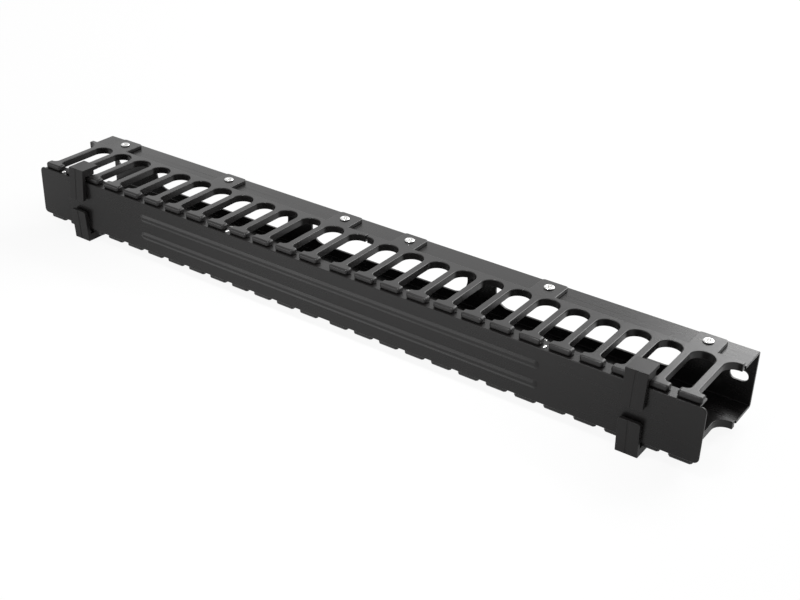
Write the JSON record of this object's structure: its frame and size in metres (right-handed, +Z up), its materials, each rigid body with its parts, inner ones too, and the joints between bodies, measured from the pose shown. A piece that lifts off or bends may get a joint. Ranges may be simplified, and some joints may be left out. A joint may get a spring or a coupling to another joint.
{
  "type": "horizontal cable manager",
  "caption": "Rack-wide horizontal cable manager: a windowed steel channel with slotted plastic finger combs above and below and a clip-on front cover.",
  "frame": {"origin": "middle of the line between the two oval rack holes, on the rear face of the channel's web", "axes": "+X along the rack's width, +Y back towards the rack's rails, -Y the front with the cover, +Z up"},
  "size_m": [0.4826, 0.0719, 0.051],
  "materials": {
    "powder_coated_steel": "fine matt black powder coat",
    "moulded_plastic": "satin black moulded plastic",
    "rivet_metal": "bright, as pressed"
  },
  "bodies": {
    "frame": {"back_channel": "powder_coated_steel", "module_upper_left": "moulded_plastic", "module_upper_right": "moulded_plastic", "module_lower_left": "moulded_plastic", "module_lower_right": "moulded_plastic", "rivet_upper_1": "rivet_metal", "rivet_upper_2": "rivet_metal", "rivet_upper_3": "rivet_metal", "rivet_upper_4": "rivet_metal", "rivet_upper_5": "rivet_metal", "rivet_upper_6": "rivet_metal", "rivet_lower_1": "rivet_metal", "rivet_lower_2": "rivet_metal", "rivet_lower_3": "rivet_metal", "rivet_lower_4": "rivet_metal", "rivet_lower_5": "rivet_metal", "rivet_lower_6": "rivet_metal"},
    "cover": {"cover_panel": "powder_coated_steel", "clip_upper_left": "moulded_plastic", "clip_upper_right": "moulded_plastic", "clip_lower_left": "moulded_plastic", "clip_lower_right": "moulded_plastic", "lip_stud_1": "rivet_metal", "lip_stud_2": "rivet_metal", "lip_stud_3": "rivet_metal"}
  },
  "joints": [
    {"name": "cover_pull", "type": "slide", "parent": "frame", "child": "cover", "axis": [0, -1, 0], "range_m": [0, 0.03]}
  ]
}
